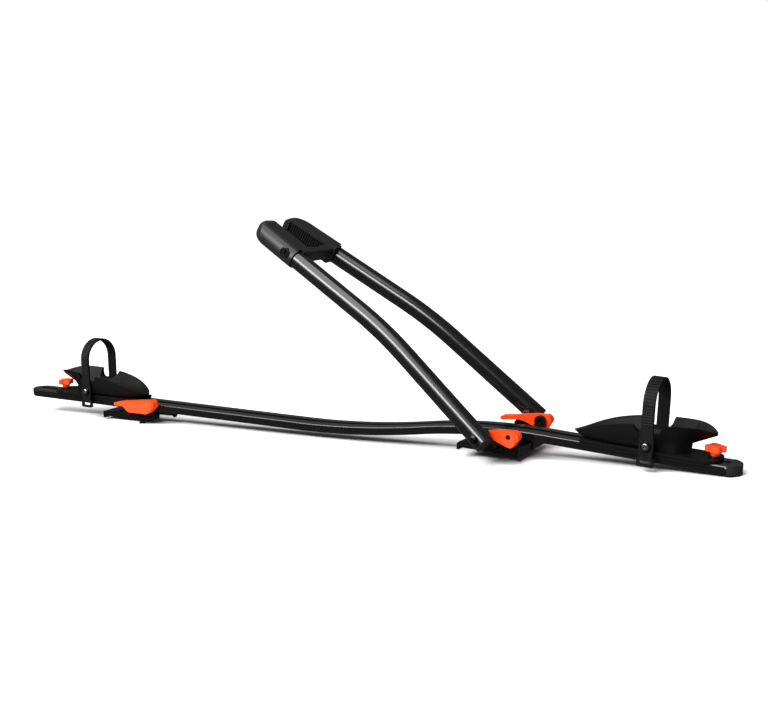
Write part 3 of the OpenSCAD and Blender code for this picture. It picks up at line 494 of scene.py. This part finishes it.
head_round = 14
head_outer = 18.2
head_back = 140
head_margin = 0.02
nose_start = 66
nose_length = 33.1
oval_line = 10
rim_back = 130
rim_inner = 12
rim_tip = 30


def head_envelope(name, frame_matrix):
    """The head's plan as a block with its outer rims rounded; it trims the moulding."""
    inverse = frame_matrix.inverted()
    heights = [(inverse @ vertex.co).z / mm for vertex in nodes[name].data.vertices]
    half_width = head_outer + oval_line
    block = oval_block(nose_length, half_width, min(heights) - head_margin, max(heights) + head_margin)

    def spread(place):
        x, y = place.x / mm, place.y / mm
        if x < -hair:
            x = -head_back
            y = y if y > 0 else -half_width
        elif y > hair:
            x = nose_length
        return Vector(((x + nose_start) * mm, (y + oval_line) * mm, place.z))

    def is_rim(first, second):
        on_outer_side = min(first.y, second.y) < rim_inner * mm
        on_tip = min(first.x, second.x) > (nose_start + rim_tip) * mm
        return (on_outer_side or on_tip) and max(first.x, second.x) > (nose_start - rim_back) * mm

    move_vertices(block, spread)
    with Editing(block):
        bpy.ops.mesh.remove_doubles(threshold=hair * mm)
        bpy.ops.mesh.dissolve_limited(angle_limit=radians(0.1))
    round_level_edges(block, is_rim, head_round, segments=10, clamp=False)
    block.data.transform(frame_matrix)
    face_outward(block)
    return block


softened("head_near", 1.6, 3, 48, shade=42, kept_in=head_envelope("head_near", head_frame))
softened("head_far", 1.6, 3, 48, shade=42, kept_in=head_envelope("head_far", mirrored @ head_frame))

# Arm tubes: one length of tube, drawn straight, bent by a spin and run on to the head

tube_r = 15
tube_tail = 14
tube_lower = 172.5
tube_upper = 150.5
bend_r = 690
bend_steps = 24
bend = radians(9)


def extrude_by(x, y, z):
    bpy.ops.mesh.extrude_region_move(TRANSFORM_OT_translate={"value": (x * mm, y * mm, z * mm)})


def arm_tube(name, frame_matrix):
    bpy.ops.mesh.primitive_circle_add(
        vertices=round_sides, radius=tube_r * mm, location=(-tube_tail * mm, 0, 0), rotation=(0, pi / 2, 0)
    )
    tube = bpy.context.active_object
    apply_transform()
    bend_centre = (tube_lower * mm, 0, bend_r * mm)
    with Editing(tube):
        bpy.ops.mesh.edge_face_add()
        extrude_by(tube_tail + tube_lower, 0, 0)
        bpy.ops.mesh.spin(steps=bend_steps, angle=bend, center=bend_centre, axis=(0, 1, 0))
        extrude_by(tube_upper * cos(bend), 0, tube_upper * sin(bend))
    tube.data.transform(frame_matrix)
    face_outward(tube)
    round_edges(tube, 0.6, 3, 60)
    smooth(tube, 40)
    stand_in(tube, name)


arm_tube("arm_near", arm_frame)
arm_tube("arm_far", mirrored @ arm_frame)


# Studio: pale floor, soft light

def plain_floor(size):
    bpy.ops.mesh.primitive_plane_add(size=size, location=(0, 0, 0))
    floor = bpy.context.active_object
    floor.name = "studio_floor"
    finish = Finish("pale_floor", Roughness=0.9, Specular_IOR_Level=0.0)
    finish.colour(finish.noise(3, 2), grey(0.9), grey(0.92))
    floor.data.materials.append(finish.material)
    floor.visible_glossy = False


def lamp(name, kind, energy, direction):
    data = bpy.data.lights.new(name, kind)
    data.energy = energy
    light = bpy.data.objects.new(name, data)
    scene.collection.objects.link(light)
    light.rotation_euler = direction.to_track_quat("-Z", "Y").to_euler()
    return light


def soft_sun(name, towards, energy, spread):
    light = lamp(name, "SUN", energy, Vector(towards))
    light.data.angle = radians(spread)


def soft_box(name, place, aim, size, power):
    light = lamp(name, "AREA", power, Vector(aim) - Vector(place))
    light.location = place
    light.data.shape = "RECTANGLE"
    light.data.size, light.data.size_y = size


def pale_surround(seen, cast):
    """A surround that shows as white behind the object but casts a dimmer, even light."""
    world = bpy.data.worlds.new("studio")
    scene.world = world
    world.use_nodes = True
    tree = world.node_tree
    background = tree.nodes["Background"]
    background.inputs["Color"].default_value = (1, 1, 1, 1)
    path = tree.nodes.new("ShaderNodeLightPath")
    level = tree.nodes.new("ShaderNodeMapRange")
    level.inputs["To Min"].default_value = cast
    level.inputs["To Max"].default_value = seen
    tree.links.new(path.outputs["Is Camera Ray"], level.inputs["Value"])
    tree.links.new(level.outputs["Result"], background.inputs["Strength"])


plain_floor(size=80)
soft_sun("soft_sun", towards=(0.25, 0.35, -1), energy=3.5, spread=60)
soft_box("front_box", place=(-0.7, -2.3, 1.8), aim=(0, 0, 0.12), size=(3.4, 0.7), power=150)
pale_surround(seen=1.0, cast=0.13)
scene.view_settings.view_transform = "Standard"
